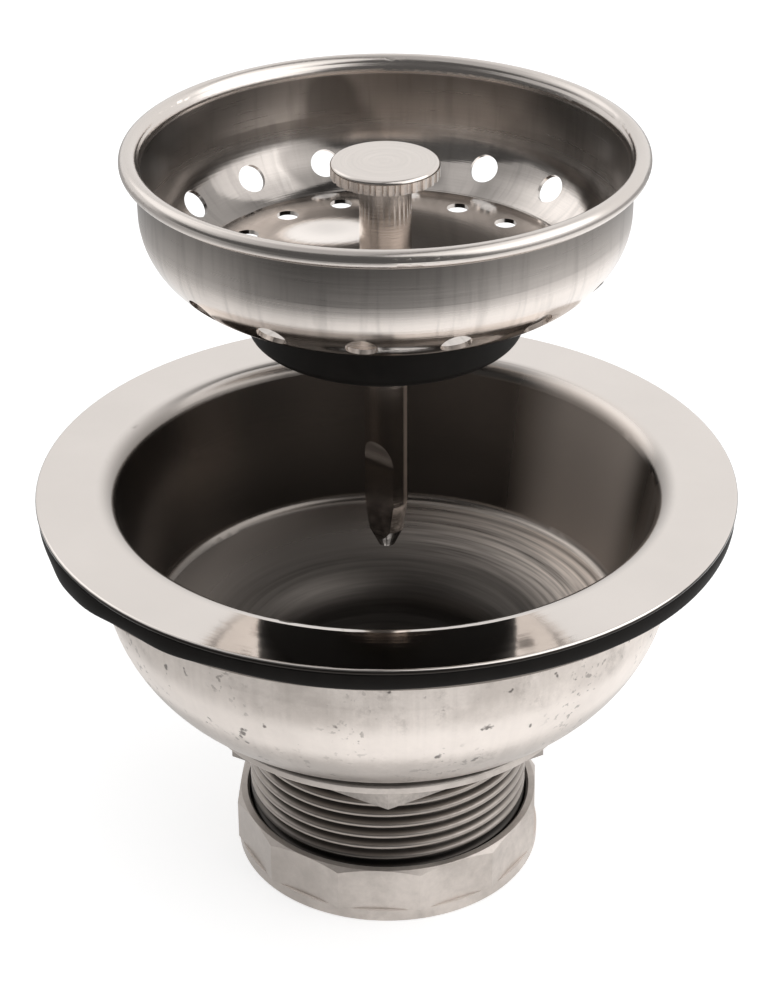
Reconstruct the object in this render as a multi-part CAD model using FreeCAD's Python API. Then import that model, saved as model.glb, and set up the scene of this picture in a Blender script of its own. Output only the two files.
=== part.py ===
"""Kitchen sink basket strainer: a flanged cup clamped under the sink by an outer shell and a locknut,
with a coupling nut for the tailpiece and a lift-out perforated basket that carries the stopper.

Millimetres, +Z up. The origin is on the axis, on the underside of the coupling nut.
The basket is stored lifted out above the cup.
"""
import FreeCAD, Part
import math
import os

from FreeCAD import Vector

# Drawn sheet
body_sheet = 1.0
shell_sheet = 1.0
basket_sheet = 0.7

# Flanged cup
flange_radius = 57.15
flange_width = 12.65
flange_edge_round = 0.45
cup_mouth_round = 3.0
cup_wall_lean = 4.5
cup_depth = 27.0
cup_corner_round = 2.0
cup_floor_slope = 17.9
throat_radius = 20.0
throat_round = 8.0
throat_neck = 0.75
throat_length = 11.05

# Threaded outlet, its crests as a plain cylinder
outlet_wall = 2.85
outlet_ledge = 0.95
outlet_edge_chamfer = 0.8

# Guide in the throat for the basket's stem
guide_height = 4.0
guide_ring_width = 1.6
guide_hub_radius = 6.0
guide_arm_width = 3.0
guide_arm_count = 4

# Seals between the flange and the shell
gasket_setback = 0.3
gasket_thickness = 2.4
gasket_edge_round = 0.4
friction_washer_setback = 0.35
friction_washer_thickness = 0.5

# Outer shell
shell_slope = 22.5
shell_seat_width = 5.8
shell_seat_round = 0.8

# Locknut under the shell
locknut_wall = 1.78
locknut_grip = 5.05
locknut_sides = 6
locknut_turn = 30.0
locknut_flange_overhang = 3.0
locknut_flange_thickness = 1.6
locknut_flange_round = 0.4

# Bare thread left between the two nuts
thread_shown = 15.9

# Coupling nut and the washer that seals the tailpiece
nut_wall = 1.5
nut_height = 10.4
nut_sides = 12
nut_turn = 11.5
nut_chamfer = 0.95
nut_chamfer_height = 0.8
nut_mouth_chamfer = 0.4
nut_collar_height = 2.4
nut_collar_flare = 0.5
nut_collar_round = 0.6
nut_lip_thickness = 2.2
slip_washer_thickness = 2.5

# Basket
basket_lift = 27.3
basket_depth = 19.6
basket_shoulder_width = 7.8
basket_slope = 23.3
basket_slope_run = 0.5
basket_crease_round = 0.6
bead_radius = 1.4
bead_overhang = 1.15
rim_flare_width = 0.7
rim_flare_drop = 0.6
rim_flare_rise = 0.5
rim_flare_round = 0.9
hole_count = 16
hole_turn = 16.8
shoulder_hole_radius = 2.4
shoulder_hole_slant = 40.0
floor_hole_radius = 1.8
floor_hole_place = 0.38

# Stopper under the basket
stopper_overlap = 1.9
stopper_height = 10.0
stopper_round = 1.6
stopper_top_round = 0.6
stopper_washer_radius = 9.0
stopper_washer_thickness = 1.0

# Knob and its post
knob_radius = 8.5
knob_top_round = 0.6
knob_band_height = 1.7
knob_under_slope = 1.6
knob_flute_count = 28
knob_flute_radius = 0.5
knob_below_rim = 2.8
post_radius = 4.08
spigot_radius = 2.5
spigot_grip = 7.0

# Stem below the stopper
stem_radius = 3.5
stem_length = 38.7
stem_tip_radius = 1.4
stem_nose_radius = 2.9
stem_nose_length = 3.2
stem_taper_length = 5.0
stem_flat_offset = 2.1
stem_flat_start = 23.6
stem_flat_runout = 9.0
stem_flat_turn = -125.0

# Clearances between pieces
fit_clearance = 0.05
thread_clearance = 0.3
slide_clearance = 0.3
shell_clearance = 0.8
shell_corner_gap = 0.15
tailpiece_clearance = 0.25
basket_clearance = 3.8

# Radii that follow from the sizes and fits
cup_mouth_radius = flange_radius - flange_width
cup_floor_radius = cup_mouth_radius - cup_wall_lean
throat_outer_radius = throat_radius + body_sheet
sleeve_radius = throat_outer_radius + fit_clearance
thread_radius = sleeve_radius + outlet_wall
thread_hole_radius = thread_radius + thread_clearance
outlet_bore_radius = throat_radius - outlet_ledge
tailpiece_hole_radius = outlet_bore_radius + tailpiece_clearance
guide_ring_radius = throat_radius - fit_clearance
guide_hole_radius = stem_radius + slide_clearance
gasket_radius = flange_radius - gasket_setback
friction_washer_radius = gasket_radius - friction_washer_setback
shell_inner_radius = cup_mouth_radius + body_sheet + shell_clearance
gasket_hole_radius = cup_mouth_radius + cup_mouth_round
shell_seat_radius = thread_hole_radius + shell_seat_width
stopper_radius = throat_radius + stopper_overlap
spigot_hole_radius = spigot_radius + fit_clearance
basket_radius = cup_mouth_radius - basket_clearance - bead_radius - bead_overhang
basket_crease_radius = basket_radius - basket_shoulder_width
floor_hole_circle = stopper_radius + floor_hole_place * (basket_crease_radius - stopper_radius)

# Depths below the flange's top face
cup_floor_fall = (cup_floor_radius - throat_radius) * math.tan(math.radians(cup_floor_slope))
throat_round_reach = throat_round * math.tan(math.radians(45.0 - cup_floor_slope / 2.0))
throat_corner_depth = cup_depth + cup_floor_fall
throat_start_depth = throat_corner_depth + throat_round_reach

# Heights above the underside of the coupling nut
outlet_bottom = nut_lip_thickness + slip_washer_thickness
locknut_bottom = nut_height + thread_shown
outlet_top = locknut_bottom + locknut_grip
shell_bottom = outlet_top + locknut_flange_thickness
flange_top = outlet_top + throat_neck + throat_start_depth
gasket_top = flange_top - body_sheet
friction_washer_top = gasket_top - gasket_thickness
shell_top = friction_washer_top - friction_washer_thickness
throat_bottom = outlet_top - throat_length
stopper_bottom = flange_top + basket_lift
basket_floor = stopper_bottom + stopper_height
basket_rim = basket_floor + basket_depth
stem_top = stopper_bottom - stopper_washer_thickness

AXIS = Vector(0, 0, 1)
ORIGIN = Vector(0, 0, 0)


def at(radius, z):
    """A point of a section in the XZ plane."""
    return Vector(radius, 0, z)


def path_edges(corners):
    """Lines through (radius, z, round) corners, with each corner rounded by its own radius."""
    edges = []
    start = at(*corners[0][:2])
    for before, corner, after in zip(corners, corners[1:], corners[2:]):
        point = at(*corner[:2])
        back = (at(*before[:2]) - point).normalize()
        ahead = (at(*after[:2]) - point).normalize()
        stop = point
        if corner[2] > 0:
            half = back.getAngle(ahead) / 2.0
            reach = corner[2] / math.tan(half)
            middle = (back + ahead).normalize()
            crown = point + middle * (corner[2] / math.sin(half) - corner[2])
            stop = point + back * reach
            leave = point + ahead * reach
        if start.distanceToPoint(stop) > 1e-6:
            edges.append(Part.LineSegment(start, stop).toShape())
        start = stop
        if corner[2] > 0:
            edges.append(Part.Arc(stop, crown, leave).toShape())
            start = leave
    edges.append(Part.LineSegment(start, at(*corners[-1][:2])).toShape())
    return edges


def left_of(begin, end, distance):
    """The shift that moves a straight run to its left by a distance."""
    run = at(*end[:2]) - at(*begin[:2])
    return Vector(-run.z, 0, run.x).normalize() * distance


def parallel(corners, distance):
    """The corners of a path that runs beside the given one, on its left."""
    shifts = [left_of(a, b, distance) for a, b in zip(corners, corners[1:])]
    moved = [at(*corners[0][:2]) + shifts[0]]
    rounds = [0.0]
    for corner, first, second in zip(corners[1:], shifts, shifts[1:]):
        both = first + second
        moved.append(at(*corner[:2]) + both * (2.0 * distance ** 2 / both.dot(both)))
        turns_left = first.x * second.z - first.z * second.x > 0
        change = -distance if turns_left else distance
        rounds.append(max(corner[2] + change, 0.0) if corner[2] > 0 else 0.0)
    moved.append(at(*corners[-1][:2]) + shifts[-1])
    rounds.append(0.0)
    return [(point.x, point.z, size) for point, size in zip(moved, rounds)]


def revolve(edges):
    """Turn a closed loop of edges about the axis."""
    wire = Part.Wire(Part.__sortEdges__(edges))
    return Part.Face(wire).revolve(ORIGIN, AXIS, 360)


def turned(corners):
    """A solid of revolution from a closed section of (radius, z, round) corners, first corner sharp."""
    return revolve(path_edges(corners + [corners[0]]))


def sheet(corners, thickness):
    """A drawn sheet piece: one face follows the corners and the metal lies on the left of them."""
    other = parallel(corners, thickness)
    caps = []
    for mine, theirs in ((corners[0], other[0]), (corners[-1], other[-1])):
        caps.append(Part.LineSegment(at(*mine[:2]), at(*theirs[:2])).toShape())
    return revolve(path_edges(corners) + path_edges(other) + caps)


def ring(inner, outer, bottom, top):
    """A plain ring."""
    return turned([(inner, bottom, 0), (outer, bottom, 0), (outer, top, 0), (inner, top, 0)])


def polygon_prism(corner_radius, sides, turn, bottom, top):
    """An upright prism with a regular outline."""
    angles = [math.radians(turn + 360.0 * k / sides) for k in range(sides + 1)]
    points = [Vector(corner_radius * math.cos(a), corner_radius * math.sin(a), bottom) for a in angles]
    return Part.Face(Part.makePolygon(points)).extrude(Vector(0, 0, top - bottom))


def around(shape, count, turn=0.0):
    """Copies of a shape spaced evenly about the axis."""
    copies = []
    for k in range(count):
        copy = shape.copy()
        copy.rotate(ORIGIN, AXIS, turn + 360.0 * k / count)
        copies.append(copy)
    return copies


def strainer_body():
    """Flange, cup and throat, drawn from one sheet, with the flange's edge rounded over."""
    drawn = sheet([
        (flange_radius, flange_top, 0),
        (cup_mouth_radius, flange_top, cup_mouth_round),
        (cup_floor_radius, flange_top - cup_depth, cup_corner_round),
        (throat_radius, flange_top - throat_corner_depth, throat_round),
        (throat_radius, throat_bottom, 0),
    ], body_sheet)
    rims = [edge for edge in drawn.Edges
            if len(edge.Vertexes) == 1 and abs(edge.Vertexes[0].X - flange_radius) < fit_clearance]
    return drawn.makeFillet(flange_edge_round, rims)


def outlet_nipple():
    """Threaded sleeve swaged round the throat, with a step inside that carries the guide."""
    chamfer = outlet_edge_chamfer
    return turned([
        (outlet_bore_radius, outlet_bottom, 0),
        (thread_radius - chamfer, outlet_bottom, 0),
        (thread_radius, outlet_bottom + chamfer, 0),
        (thread_radius, outlet_top - chamfer, 0),
        (thread_radius - chamfer, outlet_top, 0),
        (sleeve_radius, outlet_top, 0),
        (sleeve_radius, throat_bottom, 0),
        (outlet_bore_radius, throat_bottom, 0),
    ])


def stem_guide():
    """Ring, arms and hub cast as one piece, standing on the step inside the outlet."""
    foot = at(0, throat_bottom)
    inner = guide_ring_radius - guide_ring_width
    rim = ring(inner, guide_ring_radius, throat_bottom, throat_bottom + guide_height)
    hub = Part.makeCylinder(guide_hub_radius, guide_height, foot)
    arm_reach = inner + guide_ring_width / 2.0
    arm_corner = foot - Vector(0, guide_arm_width / 2.0, 0)
    arm = Part.makeBox(arm_reach, guide_arm_width, guide_height, arm_corner)
    hole = Part.makeCylinder(guide_hole_radius, guide_height, foot)
    return rim.multiFuse([hub] + around(arm, guide_arm_count)).cut(hole).removeSplitter()


def rubber_gasket():
    """Rubber ring under the flange, its lower edge eased."""
    bottom = friction_washer_top
    return turned([
        (gasket_hole_radius, bottom, 0),
        (gasket_radius, bottom, gasket_edge_round),
        (gasket_radius, gasket_top, 0),
        (gasket_hole_radius, gasket_top, 0),
    ])


def friction_washer():
    """Fibre ring that lets the shell's rim slip on the rubber."""
    return ring(shell_inner_radius, friction_washer_radius, shell_top, friction_washer_top)


def shell_corner():
    """The shell's inside corner, its round as large as the cup and the nut's flat seat allow."""
    floor = shell_bottom + shell_sheet
    slope = math.radians(shell_slope)
    corner = floor + (shell_inner_radius - shell_seat_radius) * math.tan(slope)
    reach = math.tan(math.pi / 4.0 - slope / 2.0)
    across = shell_inner_radius - cup_floor_radius - body_sheet
    up = flange_top - cup_depth - body_sheet - corner
    half = across + up * reach - shell_corner_gap
    spread = across ** 2 + up ** 2 - shell_corner_gap ** 2
    clears_cup = (half + math.sqrt(half ** 2 - reach ** 2 * spread)) / reach ** 2
    keeps_seat = ((shell_inner_radius - shell_seat_radius) / math.cos(slope) - shell_seat_round) / reach
    return (shell_inner_radius, corner, min(clears_cup, keeps_seat))


def lock_shell():
    """Outer cup with a large round, whose rim clamps the seals up against the sink."""
    floor = shell_bottom + shell_sheet
    return sheet([
        (shell_inner_radius, shell_top, 0),
        shell_corner(),
        (shell_seat_radius, floor, shell_seat_round),
        (thread_hole_radius, floor, 0),
    ], shell_sheet)


def locknut():
    """Hexagon nut, one corner towards the front, under a round flange that bears on the shell."""
    corner_radius = (thread_hole_radius + locknut_wall) / math.cos(math.pi / locknut_sides)
    flange_edge = corner_radius + locknut_flange_overhang
    prism = polygon_prism(corner_radius, locknut_sides, locknut_turn, locknut_bottom, outlet_top)
    flange = turned([
        (0, outlet_top, 0),
        (flange_edge, outlet_top, locknut_flange_round),
        (flange_edge, shell_bottom, locknut_flange_round),
        (0, shell_bottom, 0),
    ])
    hole = Part.makeCylinder(thread_hole_radius, shell_bottom - locknut_bottom, at(0, locknut_bottom))
    return prism.fuse(flange).cut(hole)


def coupling_nut():
    """Twelve-sided nut over a wider round collar, with a lip inside that carries the washer."""
    apothem = thread_hole_radius + nut_wall
    corner_radius = apothem / math.cos(math.pi / nut_sides)
    collar_radius = apothem + nut_collar_flare
    eased = turned([
        (0, nut_collar_height, 0),
        (corner_radius, nut_collar_height, 0),
        (corner_radius, nut_height - nut_chamfer_height, 0),
        (corner_radius - nut_chamfer, nut_height, 0),
        (0, nut_height, 0),
    ])
    collar = turned([
        (0, 0, 0),
        (collar_radius, 0, nut_collar_round),
        (collar_radius, nut_collar_height, 0),
        (0, nut_collar_height, 0),
    ])
    prism = polygon_prism(corner_radius, nut_sides, nut_turn, nut_collar_height, nut_height)
    hollow = Part.makeCylinder(thread_hole_radius, nut_height, at(0, nut_lip_thickness))
    mouth = Part.makeCone(thread_hole_radius, thread_hole_radius + nut_mouth_chamfer, nut_mouth_chamfer,
                          at(0, nut_height - nut_mouth_chamfer))
    bore = Part.makeCylinder(tailpiece_hole_radius, nut_lip_thickness)
    return prism.common(eased).fuse(collar).cut(hollow).cut(mouth).cut(bore).removeSplitter()


def slip_washer():
    """Rubber washer between the nut's lip and the end of the outlet."""
    return ring(tailpiece_hole_radius, thread_radius, nut_lip_thickness, outlet_bottom)


def basket_shoulder():
    """The bowl's outside corner, rounded so that a short run of the slope is left above the crease."""
    slope = math.radians(basket_slope)
    reach = math.tan(math.pi / 4.0 - slope / 2.0)
    size = (basket_shoulder_width / math.cos(slope) - basket_slope_run) / reach
    return (basket_radius, basket_floor + basket_shoulder_width * math.tan(slope), size)


def basket_holes():
    """Drills for the slanted shoulder holes and the upright floor holes."""
    radius, corner, size = basket_shoulder()
    reach = math.tan(math.radians(45.0 - basket_slope / 2.0))
    centre = at(radius - size, corner + size * reach)
    slant = math.radians(shoulder_hole_slant)
    along = Vector(math.cos(slant), 0, -math.sin(slant))
    slanted = Part.makeCylinder(shoulder_hole_radius, size, centre + along * size / 2.0, along)
    upright = Part.makeCylinder(floor_hole_radius, 3.0 * basket_sheet,
                                at(floor_hole_circle, basket_floor - basket_sheet))
    return around(slanted, hole_count, hole_turn) + around(upright, hole_count, hole_turn)


def basket_cup():
    """Perforated bowl that flares into a rolled rim, with a crease between floor and shoulder."""
    bowl = sheet([
        (spigot_hole_radius, basket_floor, 0),
        (basket_crease_radius, basket_floor, basket_crease_round),
        basket_shoulder(),
        (basket_radius, basket_rim - rim_flare_drop, rim_flare_round),
        (basket_radius + rim_flare_width, basket_rim + rim_flare_rise, 0),
    ], basket_sheet)
    bead = Part.makeTorus(basket_radius + bead_overhang, bead_radius, at(0, basket_rim), AXIS)
    return bowl.fuse(bead).cut(Part.makeCompound(basket_holes())).removeSplitter()


def stopper():
    """Thick rubber disc under the basket's floor."""
    return turned([
        (spigot_hole_radius, stopper_bottom, 0),
        (stopper_radius, stopper_bottom, stopper_round),
        (stopper_radius, basket_floor, stopper_top_round),
        (spigot_hole_radius, basket_floor, 0),
    ])


def stopper_washer():
    """Metal washer that holds the stopper against the basket."""
    return ring(spigot_hole_radius, stopper_washer_radius, stem_top, stopper_bottom)


def knob():
    """Fluted knob and post turned from one rod, with a spigot down through the basket and stopper."""
    seat = basket_floor + basket_sheet
    top = basket_rim + bead_radius - knob_below_rim
    band_bottom = top - knob_top_round - knob_band_height
    spigot_bottom = stem_top - spigot_grip
    blank = turned([
        (0, spigot_bottom, 0),
        (spigot_radius, spigot_bottom, 0),
        (spigot_radius, seat, 0),
        (post_radius, seat, 0),
        (post_radius, band_bottom - knob_under_slope, 0),
        (knob_radius, band_bottom, 0),
        (knob_radius, top, knob_top_round),
        (0, top, 0),
    ])
    flute = Part.makeCylinder(knob_flute_radius, top - knob_top_round - band_bottom + knob_under_slope,
                              at(knob_radius, band_bottom - knob_under_slope))
    return blank.cut(Part.makeCompound(around(flute, knob_flute_count)))


def stem():
    """Round rod with a blind bore for the spigot, a tapered tip and one long milled flat."""
    tip = stem_top - stem_length
    bore_end = stem_top - spigot_grip - fit_clearance
    rod = turned([
        (0, tip, 0),
        (stem_tip_radius, tip, 0),
        (stem_nose_radius, tip + stem_nose_length, 0),
        (stem_radius, tip + stem_nose_length + stem_taper_length, 0),
        (stem_radius, stem_top, 0),
        (spigot_hole_radius, stem_top, 0),
        (spigot_hole_radius, bore_end, 0),
        (0, bore_end, 0),
    ])
    outside = 2.0 * stem_radius
    flat_depth = outside - stem_flat_offset
    runout_round = (flat_depth ** 2 + stem_flat_runout ** 2) / (2.0 * flat_depth)
    middle = math.asin(stem_flat_runout / runout_round) / 2.0
    flat_start = stem_top - stem_flat_start
    centre = at(stem_flat_offset + runout_round, flat_start)
    start = at(stem_flat_offset, flat_start)
    halfway = centre + at(-runout_round * math.cos(middle), runout_round * math.sin(middle))
    end = at(outside, flat_start + stem_flat_runout)
    far = [at(outside, tip - outside), at(stem_flat_offset, tip - outside)]
    edges = [Part.Arc(start, halfway, end).toShape()]
    for begin, finish in zip([end] + far, far + [start]):
        edges.append(Part.LineSegment(begin, finish).toShape())
    cutter = Part.Face(Part.Wire(edges)).extrude(Vector(0, 2.0 * outside, 0))
    cutter.translate(Vector(0, -outside, 0))
    cutter.rotate(ORIGIN, AXIS, stem_flat_turn)
    return rod.cut(cutter)


PIECES = (strainer_body, outlet_nipple, stem_guide, rubber_gasket, friction_washer, lock_shell, locknut,
          coupling_nut, slip_washer, basket_cup, stopper, stopper_washer, knob, stem)

os.makedirs("parts", exist_ok=True)
for piece in PIECES:
    shape = piece()
    shape.exportStep("parts/" + piece.__name__ + ".step")
    box = shape.BoundBox
    print("%-18s valid %s solids %d volume %9.1f  z %7.2f to %7.2f  r %6.2f" % (
        piece.__name__, shape.isValid(), len(shape.Solids), shape.Volume, box.ZMin, box.ZMax, box.XMax))
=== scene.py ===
import bpy
import math
from mathutils import Matrix, Vector


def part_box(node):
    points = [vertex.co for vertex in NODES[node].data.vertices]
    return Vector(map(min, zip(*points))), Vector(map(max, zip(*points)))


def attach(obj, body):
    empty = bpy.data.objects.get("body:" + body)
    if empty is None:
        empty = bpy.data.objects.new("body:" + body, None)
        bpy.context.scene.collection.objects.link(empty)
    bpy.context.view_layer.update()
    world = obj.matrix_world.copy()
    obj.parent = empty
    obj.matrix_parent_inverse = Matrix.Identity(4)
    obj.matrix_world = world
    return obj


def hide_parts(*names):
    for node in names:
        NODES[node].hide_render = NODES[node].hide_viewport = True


# Looks of a kitchen basket strainer: finishes, helical thread, squeezed gasket, white studio and camera.
# Everything is in metres, in the frame of the solids.
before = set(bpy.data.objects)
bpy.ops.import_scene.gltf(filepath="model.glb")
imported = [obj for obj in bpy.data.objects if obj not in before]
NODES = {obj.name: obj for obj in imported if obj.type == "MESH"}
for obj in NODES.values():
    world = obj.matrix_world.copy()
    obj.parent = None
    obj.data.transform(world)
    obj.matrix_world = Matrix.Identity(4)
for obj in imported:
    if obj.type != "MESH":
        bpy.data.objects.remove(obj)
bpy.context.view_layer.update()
MM = 0.001

# Places read from the solids
FLANGE_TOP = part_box("strainer_body")[1].z
FLANGE_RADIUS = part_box("strainer_body")[1].x
THROAT_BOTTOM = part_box("strainer_body")[0].z
SHELL_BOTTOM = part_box("lock_shell")[0].z
BASKET_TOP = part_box("basket_cup")[1].z
THREAD_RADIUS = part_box("outlet_nipple")[1].x
OUTLET_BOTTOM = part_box("outlet_nipple")[0].z
OUTLET_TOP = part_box("outlet_nipple")[1].z
NUT_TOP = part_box("coupling_nut")[1].z
LOCKNUT_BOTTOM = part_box("locknut")[0].z
STEM_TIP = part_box("stem")[0].z
GASKET_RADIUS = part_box("rubber_gasket")[1].x
GASKET_BOTTOM, GASKET_TOP = (corner.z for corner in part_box("rubber_gasket"))
WASHER_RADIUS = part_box("friction_washer")[1].x

# Outlet and its thread
OUTLET_BORE = 19.05 * MM
SLEEVE_RADIUS = 21.05 * MM
THREAD_PITCH = 2.209 * MM
THREAD_DEPTH = 1.2 * MM
THREAD_SHARPNESS = 1.5
THREAD_LEAD_IN = 0.8 * MM
THREAD_SIDES = 180
THREAD_STEPS = 14

# Gasket, with its lip as (in from the edge, up from the bottom)
GASKET_HOLE = 47.5 * MM
GASKET_SIDES = 240
GASKET_WASHER_GAP = 0.05 * MM
GASKET_CHAMFER = 0.15 * MM
GASKET_SPREAD_PER_DROOP = 0.9
GASKET_LIP = (
    (0.20 * MM, 0.0),
    (0.06 * MM, 0.10 * MM),
    (0.0, 0.40 * MM),
)

# Where the gasket's rubber is squeezed out, as (turn in degrees, width in degrees, droop)
GASKET_BULGES = (
    (208.0, 5.0, 0.45 * MM),
    (216.0, 6.0, 0.55 * MM),
    (235.0, 6.0, 0.35 * MM),
    (262.0, 14.0, 0.20 * MM),
    (318.0, 20.0, 0.25 * MM),
    (60.0, 12.0, 0.30 * MM),
    (120.0, 9.0, 0.30 * MM),
)

# Edges sharper than this, in degrees, stay crisp on the turned pieces
CRISP_ANGLE = 50.0

# Zones of the finishes and of painted light and shade: the radius or height where each one starts to show,
# and where it shows in full
CUP_INSIDE_SHADE = (47.6 * MM, 43.8 * MM)
CUP_FLOOR = (FLANGE_TOP - 25.5 * MM, FLANGE_TOP - 27.5 * MM)
CUP_THROAT_SHADE = (34.0 * MM, 25.0 * MM)
CUT_EDGE_OUT = (FLANGE_RADIUS - 0.6 * MM, FLANGE_RADIUS - 0.3 * MM)
CUT_EDGE_DOWN = (FLANGE_TOP - 0.15 * MM, FLANGE_TOP - 0.35 * MM)
BASKET_BEAD_SHADE = (BASKET_TOP - 13.0 * MM, BASKET_TOP - 3.0 * MM)
BASKET_BEAD = (BASKET_TOP - 2.8 * MM, BASKET_TOP - 2.4 * MM)
BASKET_WALL = (BASKET_TOP - 17.5 * MM, BASKET_TOP - 10.0 * MM)
BASKET_SHOULDER = (26.0 * MM, 30.0 * MM)
BASKET_FLOOR_IN = (27.0 * MM, 20.0 * MM)
BASKET_FLOOR_DOWN = (BASKET_TOP - 18.0 * MM, BASKET_TOP - 19.0 * MM)
SHELL_REFLECTION_UP = (SHELL_BOTTOM + 12.0 * MM, SHELL_BOTTOM + 15.5 * MM)
SHELL_REFLECTION_DOWN = (SHELL_BOTTOM + 22.5 * MM, SHELL_BOTTOM + 18.5 * MM)
SHELL_DARKER_LOW = (SHELL_BOTTOM + 15.0 * MM, SHELL_BOTTOM + 10.0 * MM)
SHELL_FOOT_SHADE = (SHELL_BOTTOM + 3.2 * MM, SHELL_BOTTOM + 1.8 * MM)
LOCKNUT_SHADE_UP = (NUT_TOP, LOCKNUT_BOTTOM)
LOCKNUT_SHADE_DOWN = (LOCKNUT_BOTTOM + 5.0 * MM, LOCKNUT_BOTTOM)
NUT_LEDGE_LIGHT = (3.4 * MM, 2.6 * MM)
THREAD_CREST = (THREAD_RADIUS - 0.75 * THREAD_DEPTH, THREAD_RADIUS - 0.05 * THREAD_DEPTH)
THREAD_NUT_SHADE = (NUT_TOP + 2.2 * MM, NUT_TOP + 0.8 * MM)
STEM_STAIN = (STEM_TIP + 15.0 * MM, STEM_TIP + 4.0 * MM)

# Relief of the basket: fine lines, and a shallow dent in its floor, in the shading only
LINE_DEPTH = 0.01 * MM
DENT_PLACE = (-9.0 * MM, 6.0 * MM)
DENT_WIDTH = 12.0 * MM
DENT_DEPTH = 3.0 * MM

# Camera, as found from the photograph's circles
PHOTO_WIDTH = 773
PHOTO_HEIGHT = 995
CAMERA_DISTANCE = 421.57 * MM
CAMERA_ELEVATION = 29.405
CAMERA_FOCAL_PIXELS = 2576.0
CAMERA_CENTRE_PIXELS = (386.53, 476.5)
CAMERA_ROLL = -0.25
SENSOR = 36.0

# Studio: its levels, and the bounds of direction between which it turns white as mirrored in the metal
STUDIO_DARK = 0.10
STUDIO_DARK_TURN = 240.0
STUDIO_FILL = 0.6
STUDIO_OVERHEAD = (0.96, 0.66)
STUDIO_AWAY = (0.55, -0.05)
STUDIO_RIGHT = (-0.5, 0.4)
STUDIO_LEFT_LEVEL = 0.90

# Lamps, as (place, size, power)
SOFTBOXES = (
    ((-0.45, 0.15, 0.85), 1.2, 2.0),
    ((0.60, -0.25, 0.80), 1.2, 4.4),
)

# Floor: its glow as seen, and how it is mirrored, white near the part and darker far off and on two sides
FLOOR_REACH = 4.0
FLOOR_PAINT = 0.66
FLOOR_GLOW = 0.605
FLOOR_WHITE_CENTRE = (0.06, 0.02, 0.0)
FLOOR_WHITE = (0.34, 0.09)
FLOOR_SHADED_TURN = 175.0
FLOOR_SHADED_SPREAD = (0.1, 0.9)
FLOOR_SHADED = 0.88
FLOOR_DARK_TURN = 262.0
FLOOR_DARK_SPREAD = (0.2, 0.95)
FLOOR_DARK = 0.12
FLOOR_FAR = 0.46

# Sockets of the colour mix node
MIX_INPUTS = (0, 6, 7)
MIX_RESULT = 2

# Keeps divisions by the radius clear of the axis
AXIS_GUARD = 0.01 * MM


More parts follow.
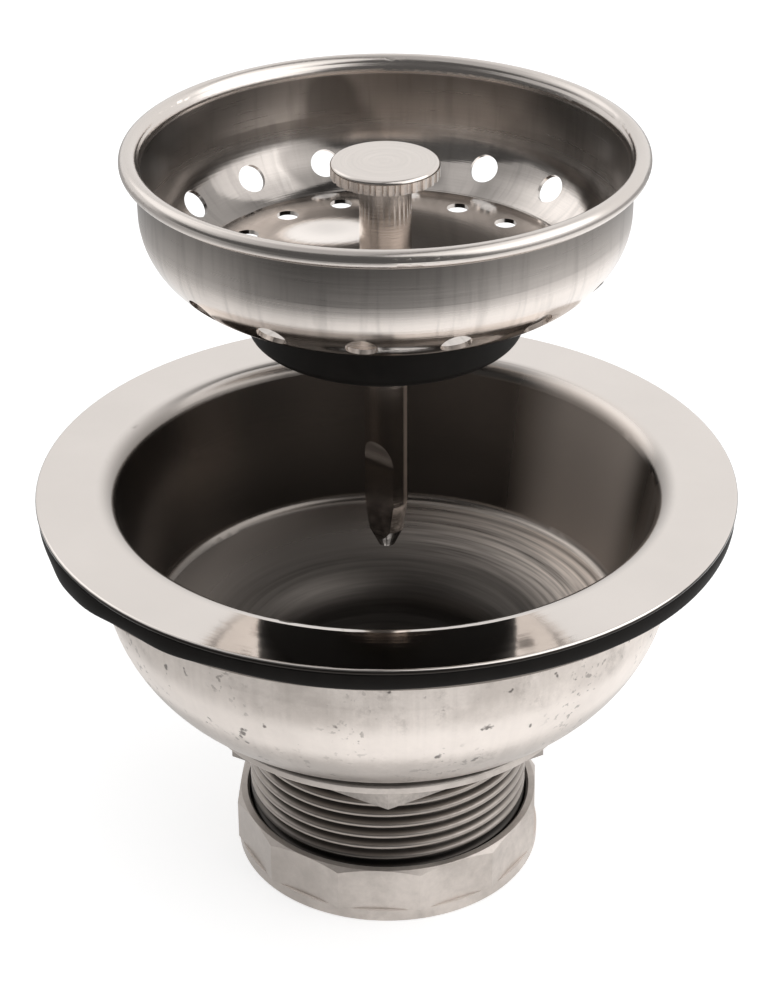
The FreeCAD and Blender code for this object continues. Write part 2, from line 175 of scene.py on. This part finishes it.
class Graph:
    """A material's or the world's node tree, with short ways to add nodes."""

    def __init__(self, owner):
        owner.use_nodes = True
        self.tree = owner.node_tree
        self.tree.nodes.clear()

    def add(self, kind, inputs=None, **settings):
        node = self.tree.nodes.new(kind)
        for key, value in settings.items():
            setattr(node, key, value)
        for key, value in (inputs or {}).items():
            self.feed(node.inputs[key], value)
        return node

    def feed(self, socket, value):
        if isinstance(value, bpy.types.NodeSocket):
            self.tree.links.new(value, socket)
        else:
            socket.default_value = value

    def math(self, operation, first, second=0.0):
        return self.add("ShaderNodeMath", {0: first, 1: second}, operation=operation).outputs[0]

    def times(self, first, second):
        return self.math("MULTIPLY", first, second)

    def split(self, vector):
        """The three coordinates of a vector."""
        return tuple(self.add("ShaderNodeSeparateXYZ", {0: vector}).outputs)

    def step(self, value, low, high):
        """0 below low, 1 above high, smooth between; with low above high it runs the other way."""
        node = self.add("ShaderNodeMapRange", interpolation_type="SMOOTHSTEP")
        self.feed(node.inputs["Value"], value)
        reverse = low > high
        node.inputs["From Min"].default_value = min(low, high)
        node.inputs["From Max"].default_value = max(low, high)
        node.inputs["To Min"].default_value = 1.0 if reverse else 0.0
        node.inputs["To Max"].default_value = 0.0 if reverse else 1.0
        return node.outputs["Result"]

    def between(self, value, low, high):
        """Maps 0 to 1 onto low to high."""
        node = self.add("ShaderNodeMapRange")
        self.feed(node.inputs["Value"], value)
        node.inputs["To Min"].default_value = low
        node.inputs["To Max"].default_value = high
        return node.outputs["Result"]

    def mix(self, factor, first, second):
        node = self.add("ShaderNodeMix", data_type="RGBA")
        for index, value in zip(MIX_INPUTS, (factor, first, second)):
            self.feed(node.inputs[index], value)
        return node.outputs[MIX_RESULT]

    def over(self, colour, where, share, tint):
        """Lays a tint over a colour where a mask is 1, at a share of its strength."""
        return self.mix(self.times(where, share), colour, tint)

    def noise(self, vector, scale, detail=3.0, roughness=0.55):
        node = self.add("ShaderNodeTexNoise", {"Vector": vector})
        node.inputs["Scale"].default_value = scale
        node.inputs["Detail"].default_value = detail
        node.inputs["Roughness"].default_value = roughness
        return node.outputs["Fac"]

    def locate(self):
        """Finds the point on the piece, its coordinates, its radius and the direction out from the axis."""
        self.point = self.add("ShaderNodeTexCoord").outputs["Object"]
        self.x, self.y, self.height = self.split(self.point)
        flat = self.add("ShaderNodeCombineXYZ", {0: self.x, 1: self.y}).outputs[0]
        self.radius = self.add("ShaderNodeVectorMath", {0: flat}, operation="LENGTH").outputs["Value"]
        safe = self.math("MAXIMUM", self.radius, AXIS_GUARD)
        self.out_x = self.math("DIVIDE", self.x, safe)
        self.out_y = self.math("DIVIDE", self.y, safe)

    def spun(self, around, across, detail):
        """Noise that changes slowly round the axis and quickly across it, for turned and spun metal."""
        x = self.times(self.out_x, around)
        y = self.times(self.out_y, around)
        line = self.math("ADD", self.times(self.radius, across), self.times(self.height, across))
        vector = self.add("ShaderNodeCombineXYZ", {0: x, 1: y, 2: line}).outputs[0]
        return self.noise(vector, 1.0, detail)

    def along(self, x, y, turn):
        """How far a level direction points to a turn in degrees."""
        angle = math.radians(turn)
        return self.math("ADD", self.times(x, math.cos(angle)), self.times(y, math.sin(angle)))

    def facing(self, turn, low, high):
        """1 on the side of the axis that lies at a turn in degrees, 0 on the other side."""
        return self.step(self.along(self.out_x, self.out_y, turn), low, high)

    def normal(self):
        """The three coordinates of the surface's normal, in the piece's own frame."""
        return self.split(self.add("ShaderNodeTexCoord").outputs["Normal"])

    def inward(self):
        """1 where a turned sheet faces its axis or upwards, 0 where it faces out or down."""
        x, y, up = self.normal()
        outward = self.math("ADD", self.times(x, self.out_x), self.times(y, self.out_y))
        return self.step(self.math("SUBTRACT", up, outward), -0.05, 0.05)

    def bump(self, height, strength, depth):
        node = self.add("ShaderNodeBump", {"Height": height})
        node.inputs["Strength"].default_value = strength
        node.inputs["Distance"].default_value = depth
        return node.outputs["Normal"]

    def surface(self, **inputs):
        """The finished shader, with its inputs given by plain names."""
        shader = self.add("ShaderNodeBsdfPrincipled")
        for key, value in inputs.items():
            self.feed(shader.inputs[key.replace("_", " ")], value)
        self.finish("ShaderNodeOutputMaterial", shader)

    def finish(self, kind, shader):
        """Ends the tree with an output for a shader."""
        self.add(kind, {"Surface": shader.outputs[0]})


def level(value):
    """A neutral grey, or one number where a colour is mixed."""
    return (value, value, value, 1.0)


def grey(value, warmth):
    """A warm grey, as a linear colour."""
    return (value, value * (1.0 - 0.065 * warmth), value * (1.0 - 0.115 * warmth), 1.0)


def material(name):
    made = bpy.data.materials.new(name)
    graph = Graph(made)
    graph.locate()
    return made, graph


def cup_steel():
    """Drawn stainless steel: a pale flange with a dark cut edge, a duller wall and floor painted darker in
    shade, a painted sheen on the wall's right, the floor painted lighter on its right, and a throat painted
    dark in shade.
    """
    made, g = material("cup_steel")
    # Painted shade: the colour darkens from the pale flange over the mouth's round into the cup, whose
    # inside colours are painted darker than the flange's.
    inside = g.step(g.radius, *CUP_INSIDE_SHADE)
    bottom = g.step(g.height, *CUP_FLOOR)
    throat = g.step(g.radius, *CUP_THROAT_SHADE)
    cut_edge = g.times(g.step(g.radius, *CUT_EDGE_OUT), g.step(g.height, *CUT_EDGE_DOWN))
    rings = g.spun(around=1.2, across=900.0, detail=4.0)
    cloud = g.noise(g.point, scale=60.0, detail=4.0)
    # Painted sheen: a window on the wall's right is painted pale, with more roughness to spread it.
    wall_sheen = g.facing(33.0, 0.89, 0.99)
    # Painted light: the floor is painted lighter towards its right, broken up by the spun rings.
    shelf_sheen_rings = g.times(g.facing(-5.0, -0.35, 0.75), g.step(rings, 0.20, 0.80))
    pale = g.mix(cloud, grey(0.72, 1.1), grey(0.80, 1.1))
    wall = g.mix(wall_sheen, grey(0.22, 1.6), grey(0.88, 1.6))
    shelf = g.mix(shelf_sheen_rings, grey(0.17, 1.6), grey(0.98, 1.6))
    # Painted shade: the throat is painted dark.
    shaded_drain = g.mix(rings, grey(0.06, 1.6), grey(0.18, 1.6))
    colour = g.mix(inside, pale, g.mix(bottom, wall, g.mix(throat, shelf, shaded_drain)))
    colour = g.mix(cut_edge, colour, grey(0.03, 2.0))
    satin = g.between(rings, 0.045, 0.085)
    wall_rough = g.between(wall_sheen, 0.24, 0.60)
    shelf_rough = g.between(shelf_sheen_rings, 0.26, 0.42)
    rough = g.mix(inside, satin, g.mix(bottom, wall_rough, g.mix(throat, shelf_rough, level(0.5))))
    g.surface(Base_Color=colour, Metallic=1.0, Roughness=rough, Normal=g.bump(rings, 0.04, 0.2 * MM))
    return made


def basket_steel():
    """Spun stainless steel with fine lines round the bowl, a satin bead and a dented floor; painted shade
    below the bead, on the inside and in patches on the inner shoulder's left.
    """
    made, g = material("basket_steel")
    bead = g.step(g.height, *BASKET_BEAD)
    # Painted shade below the bead, fading out down the top of the wall.
    shade_under_bead = g.math("SUBTRACT", g.step(g.height, *BASKET_BEAD_SHADE), bead)
    upright = g.step(g.height, *BASKET_WALL)
    bottom = g.times(g.step(g.radius, *BASKET_FLOOR_IN), g.step(g.height, *BASKET_FLOOR_DOWN))
    inner = g.inward()
    lines = g.spun(around=2.0, across=2600.0, detail=5.0)
    streaks = g.spun(around=26.0, across=60.0, detail=3.0)
    mottle = g.times(lines, g.noise(g.point, scale=90.0, detail=4.0))
    # Painted shade: patches and the left side of the inner shoulder are painted darker.
    shade_blots = g.step(g.spun(around=2.4, across=45.0, detail=2.0), 0.46, 0.62)
    shade_blots = g.times(shade_blots, g.facing(150.0, -0.5, 0.3))
    left_shade_blots = g.times(g.math("MAXIMUM", g.facing(172.0, 0.30, 0.95), shade_blots), inner)
    left_shade_blots = g.times(left_shade_blots, g.step(g.radius, *BASKET_SHOULDER))
    outside = g.mix(mottle, grey(0.74, 1.2), grey(1.00, 1.2))
    # Painted shade: the inside's colours are a darker copy of the outside's.
    inside = g.mix(mottle, grey(0.64, 1.2), grey(0.92, 1.2))
    colour = g.mix(inner, outside, inside)
    colour = g.over(colour, g.step(streaks, 0.45, 0.75), 0.25, grey(0.28, 1.2))
    colour = g.over(colour, shade_under_bead, 0.65, grey(0.10, 1.6))
    # Painted shade on the inner upright wall.
    colour = g.over(colour, g.times(inner, upright), 0.10, grey(0.16, 1.4))
    colour = g.over(colour, left_shade_blots, 0.68, grey(0.10, 1.5))
    colour = g.mix(bead, colour, grey(0.70, 1.2))
    colour = g.mix(bottom, colour, grey(0.98, 1.0))
    polished = g.between(lines, 0.06, 0.14)
    satin = g.between(lines, 0.24, 0.34)
    rough = g.mix(bead, g.mix(upright, polished, satin), level(0.22))
    relief = g.math("SUBTRACT", g.times(lines, LINE_DEPTH), dent(g))
    g.surface(Base_Color=colour, Metallic=1.0, Roughness=rough,
              Normal=g.bump(relief, strength=1.0, depth=1.0))
    return made


def dent(g):
    """Depth of the dent in the basket's floor, deepest in its middle and easing off all round."""
    across = g.math("DIVIDE", g.math("SUBTRACT", g.x, DENT_PLACE[0]), DENT_WIDTH)
    along = g.math("DIVIDE", g.math("SUBTRACT", g.y, DENT_PLACE[1]), DENT_WIDTH)
    spread = g.math("ADD", g.times(across, across), g.times(along, along))
    return g.times(g.math("EXPONENT", g.times(spread, -1.0)), DENT_DEPTH)


def shell_metal():
    """Pale plated metal: mottled and streaked, with specks in clusters; a painted reflection as a bright
    band low down, painted shade on its left side and at its foot, and darker towards the bottom.
    """
    made, g = material("shell_metal")
    cloud = g.noise(g.point, scale=55.0, detail=7.0, roughness=0.68)
    grain = g.noise(g.point, scale=900.0)
    streaks = g.step(g.spun(around=30.0, across=12.0, detail=4.0), 0.40, 0.80)
    clusters = g.step(g.noise(g.point, scale=75.0, detail=2.0), 0.48, 0.62)
    specks = g.times(g.step(g.noise(g.point, scale=800.0, detail=2.0), 0.58, 0.68), clusters)
    pits = g.step(g.noise(g.point, scale=300.0), 0.66, 0.72)
    stains = g.step(g.noise(g.point, scale=120.0, detail=6.0, roughness=0.75), 0.54, 0.70)
    # Painted reflection: a bright band low on the shell stands in for the white floor mirrored there.
    reflection_band = g.times(g.step(g.height, *SHELL_REFLECTION_UP), g.step(g.height, *SHELL_REFLECTION_DOWN))
    colour = g.mix(g.step(cloud, 0.32, 0.66), grey(0.60, 1.5), grey(0.90, 1.3))
    colour = g.over(colour, streaks, g.between(cloud, 0.0, 0.45), grey(0.44, 1.6))
    colour = g.over(colour, grain, 0.25, grey(0.50, 1.5))
    colour = g.over(colour, stains, 0.40, grey(0.30, 1.7))
    # Painted shade on the shell's left side.
    colour = g.over(colour, g.facing(195.0, 0.45, 1.0), 0.30, grey(0.36, 1.6))
    colour = g.over(colour, reflection_band, 0.60, grey(0.97, 1.2))
    colour = g.over(colour, specks, 0.55, grey(0.16, 1.7))
    colour = g.over(colour, pits, 0.80, grey(0.10, 1.7))
    # Darker towards the bottom.
    colour = g.over(colour, g.step(g.height, *SHELL_DARKER_LOW), 0.45, grey(0.30, 1.5))
    # Painted shade at the foot, in the gap above the locknut.
    colour = g.over(colour, g.step(g.height, *SHELL_FOOT_SHADE), 0.9, grey(0.05, 1.7))
    relief = g.math("SUBTRACT", g.times(grain, 0.4), pits)
    g.surface(Base_Color=colour, Metallic=0.80, Roughness=g.between(cloud, 0.28, 0.48),
              Normal=g.bump(relief, 0.25, 0.3 * MM))
    return made


def nut_metal():
    """Pale cast metal: a fine grain, painted shade on one side and on the locknut's lower part, and painted
    light on upward faces low on the nut.
    """
    made, g = material("nut_metal")
    grain = g.noise(g.point, scale=1100.0, detail=4.0, roughness=0.6)
    cloud = g.noise(g.point, scale=110.0, detail=5.0, roughness=0.65)
    # Painted shade on the locknut's lower part, broken up by the grain.
    locknut_shade = g.times(g.step(g.height, *LOCKNUT_SHADE_UP), g.step(g.height, *LOCKNUT_SHADE_DOWN))
    # Painted light: upward faces low on the nut are painted pale and not metallic, to lift the shade under
    # the flats.
    upward = g.step(g.normal()[2], 0.25, 0.65)
    lit_ledge = g.times(upward, g.step(g.height, *NUT_LEDGE_LIGHT))
    colour = g.mix(g.step(cloud, 0.30, 0.70), grey(0.54, 1.5), grey(0.80, 1.4))
    colour = g.over(colour, grain, 0.35, grey(0.38, 1.5))
    # Painted shade on the left-front side, following the cloud.
    colour = g.over(colour, g.facing(205.0, 0.40, 1.0), g.between(cloud, 0.20, 0.60), grey(0.26, 1.6))
    colour = g.over(colour, locknut_shade, g.between(grain, 0.20, 0.90), grey(0.20, 1.6))
    colour = g.mix(lit_ledge, colour, grey(0.82, 1.4))
    g.surface(Base_Color=colour, Metallic=g.between(lit_ledge, 0.6, 0.0), Roughness=g.between(cloud, 0.30, 0.44),
              Normal=g.bump(grain, 0.2, 0.2 * MM))
    return made


def thread_metal():
    """Machined thread: dull crests, painted shade in the grooves and just above the nut."""
    made, g = material("thread_metal")
    grain = g.noise(g.point, scale=700.0)
    # Painted shade: the grooves are painted dark and the crests lighter.
    colour = g.mix(g.step(g.radius, *THREAD_CREST), grey(0.07, 1.7), grey(0.44, 1.6))
    colour = g.over(colour, grain, 0.4, grey(0.20, 1.6))
    # Painted shade on the thread just above the coupling nut, in the gap's shade.
    colour = g.over(colour, g.step(g.height, *THREAD_NUT_SHADE), 0.9, grey(0.02, 1.7))
    g.surface(Base_Color=colour, Metallic=0.9, Roughness=g.between(grain, 0.28, 0.42),
              Normal=g.bump(grain, 0.08, 0.2 * MM))
    return made


def turned_rod():
    """Rod turned on a lathe, with fine rings, stained towards the stem's tip."""
    made, g = material("turned_rod")
    rings = g.spun(around=0.6, across=5200.0, detail=4.0)
    patches = g.step(g.noise(g.point, scale=350.0, detail=4.0), 0.30, 0.60)
    stained = g.times(g.step(g.height, *STEM_STAIN), patches)
    colour = g.mix(rings, grey(0.66, 1.2), grey(0.82, 1.2))
    colour = g.over(colour, stained, 0.85, grey(0.10, 1.7))
    g.surface(Base_Color=colour, Metallic=1.0, Roughness=g.between(rings, 0.07, 0.16),
              Normal=g.bump(rings, 0.06, 0.2 * MM))
    return made


def black_rubber():
    """Black moulded rubber, slightly dusty."""
    made, g = material("black_rubber")
    dust = g.noise(g.point, scale=260.0, detail=5.0, roughness=0.65)
    colour = g.mix(dust, grey(0.006, 2.0), grey(0.018, 2.0))
    g.surface(Base_Color=colour, Roughness=g.between(dust, 0.45, 0.65), Specular_IOR_Level=0.12,
              Normal=g.bump(dust, 0.1, 0.2 * MM))
    return made


def fibre():
    """Pressed fibre."""
    made, g = material("fibre")
    flecks = g.noise(g.point, scale=1400.0, detail=4.0, roughness=0.7)
    colour = g.mix(flecks, grey(0.22, 2.0), grey(0.42, 2.0))
    g.surface(Base_Color=colour, Roughness=g.between(flecks, 0.75, 0.95),
              Normal=g.bump(flecks, 0.2, 0.1 * MM))
    return made


def dress(node, finish):
    """Gives a solid one finish all over."""
    slots = NODES[node].data.materials
    slots.clear()
    slots.append(finish)


def mesh_object(name, points, faces, finish):
    mesh = bpy.data.meshes.new(name)
    mesh.from_pydata(points, [], faces)
    mesh.validate()
    mesh.shade_smooth()
    mesh.materials.append(finish)
    made = bpy.data.objects.new(name, mesh)
    bpy.context.scene.collection.objects.link(made)
    return made


def lathe(name, sides, profile, finish, body, node):
    """A closed mesh about the axis, in place of a node; profile(turn) gives its loop of (radius, z)."""
    turns = [2.0 * math.pi * k / sides for k in range(sides)]
    loops = [profile(turn) for turn in turns]
    points = []
    for turn, loop in zip(turns, loops):
        points += [(radius * math.cos(turn), radius * math.sin(turn), z) for radius, z in loop]
    size = len(loops[0])
    faces = []
    for k in range(sides):
        here = k * size
        there = (k + 1) % sides * size
        for i in range(size):
            after = (i + 1) % size
            faces.append((here + i, there + i, there + after, here + after))
    made = mesh_object(name, points, faces, finish)
    made.data.set_sharp_from_angle(angle=math.radians(CRISP_ANGLE))
    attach(made, body)
    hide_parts(node)


def threaded_outlet(turn):
    """The outlet's section, with its helical thread outside."""
    rows = round((OUTLET_TOP - OUTLET_BOTTOM) / THREAD_PITCH * THREAD_STEPS)
    loop = [(OUTLET_BORE, OUTLET_BOTTOM)]
    for k in range(rows + 1):
        z = OUTLET_BOTTOM + (OUTLET_TOP - OUTLET_BOTTOM) * k / rows
        phase = (z / THREAD_PITCH - turn / (2.0 * math.pi)) % 1.0
        groove = THREAD_DEPTH * (0.5 + 0.5 * math.cos(2.0 * math.pi * phase)) ** THREAD_SHARPNESS
        lead_in = THREAD_LEAD_IN - min(z - OUTLET_BOTTOM, OUTLET_TOP - z)
        loop.append((THREAD_RADIUS - max(groove, lead_in), z))
    return loop + [(SLEEVE_RADIUS, OUTLET_TOP), (SLEEVE_RADIUS, THROAT_BOTTOM), (OUTLET_BORE, THROAT_BOTTOM)]


def squeezed_gasket(turn):
    """The gasket's section, its outer lip squeezed out and drooping in places."""
    droop = 0.0
    for place, width, size in GASKET_BULGES:
        away = (math.degrees(turn) - place + 180.0) % 360.0 - 180.0
        droop += size * math.exp(-(away / width) ** 2)
    edge = GASKET_RADIUS + GASKET_SPREAD_PER_DROOP * droop
    bottom = GASKET_BOTTOM - droop
    inner = WASHER_RADIUS + GASKET_WASHER_GAP
    return [
        (GASKET_HOLE, GASKET_BOTTOM),
        (inner, GASKET_BOTTOM),
        (inner, bottom),
        *((edge - inset, bottom + rise) for inset, rise in GASKET_LIP),
        (edge, GASKET_TOP - GASKET_CHAMFER),
        (edge - GASKET_CHAMFER, GASKET_TOP),
        (GASKET_HOLE, GASKET_TOP),
    ]


def mirrored_rays(g, path):
    """1 for rays that have met a mirror or passed through glass."""
    return g.math("MAXIMUM", path.outputs["Is Glossy Ray"], path.outputs["Is Transmission Ray"])


def studio():
    """White surroundings that fall off overhead and on one side, soft lamps and a pale floor."""
    world = bpy.data.worlds.new("studio")
    bpy.context.scene.world = world
    g = Graph(world)
    path = g.add("ShaderNodeLightPath")
    x, y, up = g.split(g.add("ShaderNodeTexCoord").outputs["Generated"])
    overhead = g.step(up, *STUDIO_OVERHEAD)
    away = g.step(g.along(x, y, STUDIO_DARK_TURN), *STUDIO_AWAY)
    side = g.between(g.step(x, *STUDIO_RIGHT), STUDIO_LEFT_LEVEL, 1.0)
    mirrored = g.between(g.times(g.times(overhead, away), side), STUDIO_DARK, 1.0)
    shown = g.mix(mirrored_rays(g, path), level(STUDIO_FILL), mirrored)
    shown = g.mix(path.outputs["Is Camera Ray"], shown, level(1.0))
    g.finish("ShaderNodeOutputWorld", g.add("ShaderNodeBackground", {"Color": shown}))
    floor()
    for place, size, energy in SOFTBOXES:
        softbox(Vector(place), size, energy)


def floor():
    """A pale floor that keeps the shadow: white as seen, and as mirrored white only near the part."""
    made, g = material("floor")
    path = g.add("ShaderNodeLightPath")
    lit = g.add("ShaderNodeBsdfDiffuse", {"Color": level(FLOOR_PAINT)}).outputs[0]
    glow = g.add("ShaderNodeEmission", {"Color": level(1.0), "Strength": FLOOR_GLOW}).outputs[0]
    pale = g.add("ShaderNodeAddShader", {0: lit, 1: glow}).outputs[0]
    far = g.between(g.facing(FLOOR_DARK_TURN, *FLOOR_DARK_SPREAD), FLOOR_FAR, FLOOR_DARK)
    dark = g.add("ShaderNodeEmission", {"Color": level(1.0), "Strength": far}).outputs[0]
    offset = g.add("ShaderNodeVectorMath", {0: g.point, 1: FLOOR_WHITE_CENTRE}, operation="DISTANCE")
    shaded = g.between(g.facing(FLOOR_SHADED_TURN, *FLOOR_SHADED_SPREAD), 1.0, FLOOR_SHADED)
    near = g.times(g.step(offset.outputs["Value"], *FLOOR_WHITE), shaded)
    mirrored = g.add("ShaderNodeMixShader", {0: near, 1: dark, 2: pale}).outputs[0]
    shown = g.add("ShaderNodeMixShader", {0: mirrored_rays(g, path), 1: lit, 2: mirrored}).outputs[0]
    g.finish("ShaderNodeOutputMaterial",
             g.add("ShaderNodeMixShader", {0: path.outputs["Is Camera Ray"], 1: shown, 2: pale}))
    corners = [(-FLOOR_REACH, -FLOOR_REACH, 0.0), (FLOOR_REACH, -FLOOR_REACH, 0.0),
               (FLOOR_REACH, FLOOR_REACH, 0.0), (-FLOOR_REACH, FLOOR_REACH, 0.0)]
    return mesh_object("floor", corners, [(0, 1, 2, 3)], made)


def softbox(place, size, energy):
    """A square lamp aimed at the flange."""
    lamp = bpy.data.lights.new("softbox", "AREA")
    lamp.shape = "SQUARE"
    lamp.size = size
    lamp.energy = energy
    made = bpy.data.objects.new("softbox", lamp)
    bpy.context.scene.collection.objects.link(made)
    made.location = place
    made.rotation_euler = (Vector((0.0, 0.0, FLANGE_TOP)) - place).to_track_quat("-Z", "Y").to_euler()


def camera():
    """A camera where the photograph was taken from."""
    data = bpy.data.cameras.new("camera")
    data.sensor_width = SENSOR
    data.lens = CAMERA_FOCAL_PIXELS / PHOTO_HEIGHT * SENSOR
    data.shift_x = (PHOTO_WIDTH / 2.0 - CAMERA_CENTRE_PIXELS[0]) / PHOTO_HEIGHT
    data.shift_y = (CAMERA_CENTRE_PIXELS[1] - PHOTO_HEIGHT / 2.0) / PHOTO_HEIGHT
    made = bpy.data.objects.new("camera", data)
    bpy.context.scene.collection.objects.link(made)
    tilt = math.radians(CAMERA_ELEVATION)
    target = Vector((0.0, 0.0, FLANGE_TOP))
    back = Vector((0.0, -math.cos(tilt), math.sin(tilt)))
    made.location = target + back * CAMERA_DISTANCE
    turn = (-back).to_track_quat("-Z", "Y").to_matrix() @ Matrix.Rotation(math.radians(CAMERA_ROLL), 3, "Z")
    made.rotation_euler = turn.to_euler()
    bpy.context.scene.camera = made


RUBBER = black_rubber()
THREAD = thread_metal()
FINISHES = (
    (cup_steel(), ("strainer_body",)),
    (shell_metal(), ("lock_shell",)),
    (basket_steel(), ("basket_cup",)),
    (fibre(), ("friction_washer",)),
    (nut_metal(), ("locknut", "coupling_nut")),
    (turned_rod(), ("knob", "stem", "stopper_washer")),
    (RUBBER, ("rubber_gasket", "stopper", "slip_washer")),
    (THREAD, ("outlet_nipple", "stem_guide")),
)
for finish, nodes in FINISHES:
    for node in nodes:
        dress(node, finish)
lathe("outlet_thread", THREAD_SIDES, threaded_outlet, THREAD, "strainer", "outlet_nipple")
lathe("gasket_rubber", GASKET_SIDES, squeezed_gasket, RUBBER, "clamp", "rubber_gasket")
studio()
camera()
bpy.context.scene.view_settings.view_transform = "Standard"
